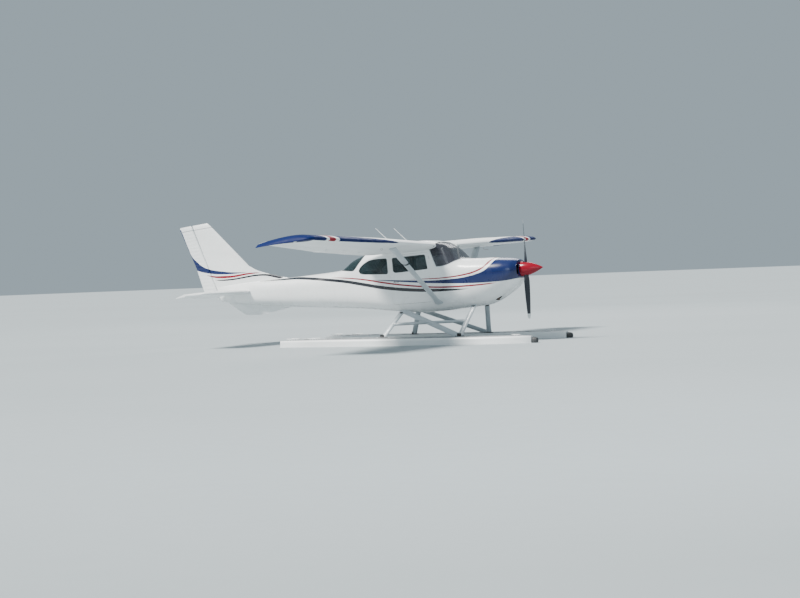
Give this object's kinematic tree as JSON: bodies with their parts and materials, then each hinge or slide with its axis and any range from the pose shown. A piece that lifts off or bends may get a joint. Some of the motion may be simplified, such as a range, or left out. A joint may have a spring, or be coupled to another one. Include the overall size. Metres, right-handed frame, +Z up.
{
  "type": "four-seat high-wing floatplane",
  "caption": "High-wing strut-braced cabin aircraft on a pair of stepped floats, with hinged doors, control surfaces, water rudders and a free propeller.",
  "frame": {"origin": "on the ground under the middle of the outer box, the float keels at z = 0", "axes": "+X forward, +Y to the left wing, +Z up, the float decks level"},
  "size_m": [8.5064, 10.92, 3.0899],
  "materials": {
    "white_paint": "glossy white paint on aluminium skin",
    "blue_paint": "glossy dark blue paint",
    "red_paint": "glossy red paint",
    "black_paint": "satin black paint with white tips",
    "float_paint": "white paint, grey non-slip deck",
    "bumper_rubber": "matt black rubber",
    "bare_steel": "bare steel",
    "seat_steel": "grey painted frame",
    "engine_iron": "grey castings",
    "seat_cloth": "dark woven cloth",
    "cabin_plastic": "matt black plastic",
    "glazing": "smoked clear acrylic"
  },
  "bodies": {
    "airframe": {"bow_bumper_left": "bumper_rubber", "bow_bumper_right": "bumper_rubber", "bulkhead": "white_paint", "cabin_floor": "white_paint", "cabin_roof": "white_paint", "cabin_side_left": "white_paint", "cabin_side_right": "white_paint", "cowl_lower": "white_paint", "cowl_upper": "blue_paint", "engine_block": "engine_iron", "exhaust_stack": "bare_steel", "fin": "white_paint", "firewall": "bare_steel", "float_brace_left": "white_paint", "float_brace_right": "white_paint", "float_left": "float_paint", "float_right": "float_paint", "float_strut_front_left": "white_paint", "float_strut_front_right": "white_paint", "float_strut_rear_left": "white_paint", "float_strut_rear_right": "white_paint", "instrument_panel": "cabin_plastic", "rear_window": "glazing", "scuttle": "white_paint", "seat_frame_left": "seat_steel", "seat_frame_rear": "seat_steel", "seat_frame_right": "seat_steel", "seat_front_left": "seat_cloth", "seat_front_right": "seat_cloth", "seat_rear": "seat_cloth", "side_window_left": "glazing", "side_window_right": "glazing", "spreader_front": "white_paint", "spreader_rear": "white_paint", "stabilizer": "white_paint", "tail_cone": "white_paint", "ventral_fin": "white_paint", "windshield": "glazing", "wing_left": "white_paint", "wing_right": "white_paint", "wing_strut_left": "white_paint", "wing_strut_right": "white_paint", "wing_tip_left": "blue_paint", "wing_tip_right": "blue_paint", "yoke_left": "cabin_plastic", "yoke_right": "cabin_plastic"},
    "propeller": {"propeller": "black_paint", "spinner": "red_paint"},
    "elevator": {"elevator": "white_paint"},
    "rudder": {"rudder": "white_paint"},
    "aileron_left": {"aileron_left": "white_paint"},
    "aileron_right": {"aileron_right": "white_paint"},
    "flap_left": {"flap_left": "white_paint"},
    "flap_right": {"flap_right": "white_paint"},
    "door_left": {"door_left": "white_paint", "door_glass_left": "glazing"},
    "door_right": {"door_right": "white_paint", "door_glass_right": "glazing"},
    "water_rudder_left": {"water_rudder_left": "white_paint"},
    "water_rudder_right": {"water_rudder_right": "white_paint"}
  },
  "joints": [
    {"name": "propeller_spin", "type": "hinge", "parent": "airframe", "child": "propeller", "pos_m": [3.68362, 0, 1.87004], "axis": [0.9989, 0, 0.0471], "continuous": true},
    {"name": "elevator_hinge", "type": "hinge", "parent": "airframe", "child": "elevator", "pos_m": [-3.16519, 0, 1.57709], "axis": [0, -1, 0], "range_deg": [-40, 11]},
    {"name": "rudder_hinge", "type": "hinge", "parent": "airframe", "child": "rudder", "pos_m": [-3.35356, 0, 1.53818], "axis": [-0.3835, 0, 0.9235], "range_deg": [-17.7, 17.7]},
    {"name": "aileron_left_hinge", "type": "hinge", "parent": "airframe", "child": "aileron_left", "pos_m": [0.71761, 2.652, 2.38848], "axis": [0.1002, 0.9939, 0.045], "range_deg": [-15, 20]},
    {"name": "aileron_right_hinge", "type": "hinge", "parent": "airframe", "child": "aileron_right", "pos_m": [0.71761, -2.652, 2.38848], "axis": [-0.1002, 0.9939, -0.045], "range_deg": [-20, 15]},
    {"name": "flap_left_hinge", "type": "hinge", "parent": "airframe", "child": "flap_left", "pos_m": [0.78326, 0.58, 2.21948], "axis": [0.0021, -0.9991, -0.0413], "range_deg": [0, 40]},
    {"name": "flap_right_hinge", "type": "hinge", "parent": "airframe", "child": "flap_right", "pos_m": [0.78326, -0.58, 2.21948], "axis": [-0.0021, -0.9991, 0.0413], "range_deg": [0, 40]},
    {"name": "door_left_hinge", "type": "hinge", "parent": "airframe", "child": "door_left", "pos_m": [1.85765, 0.552, 1.78393], "axis": [0.0471, 0, -0.9989], "range_deg": [0, 70]},
    {"name": "door_right_hinge", "type": "hinge", "parent": "airframe", "child": "door_right", "pos_m": [1.85765, -0.552, 1.78393], "axis": [-0.0471, 0, 0.9989], "range_deg": [0, 70]},
    {"name": "water_rudder_left_pivot", "type": "hinge", "parent": "airframe", "child": "water_rudder_left", "pos_m": [-1.30878, 0.965, 0.4], "axis": [0, 0, 1], "range_deg": [-27, 27]},
    {"name": "water_rudder_right_pivot", "type": "hinge", "parent": "airframe", "child": "water_rudder_right", "pos_m": [-1.30878, -0.965, 0.4], "axis": [0, 0, 1], "range_deg": [-27, 27]}
  ],
  "couplings": [
    {"joint": "aileron_right_hinge", "follows": "aileron_left_hinge", "ratio": -1},
    {"joint": "flap_right_hinge", "follows": "flap_left_hinge", "ratio": 1},
    {"joint": "water_rudder_left_pivot", "follows": "rudder_hinge", "ratio": 1.5},
    {"joint": "water_rudder_right_pivot", "follows": "rudder_hinge", "ratio": 1.5}
  ]
}
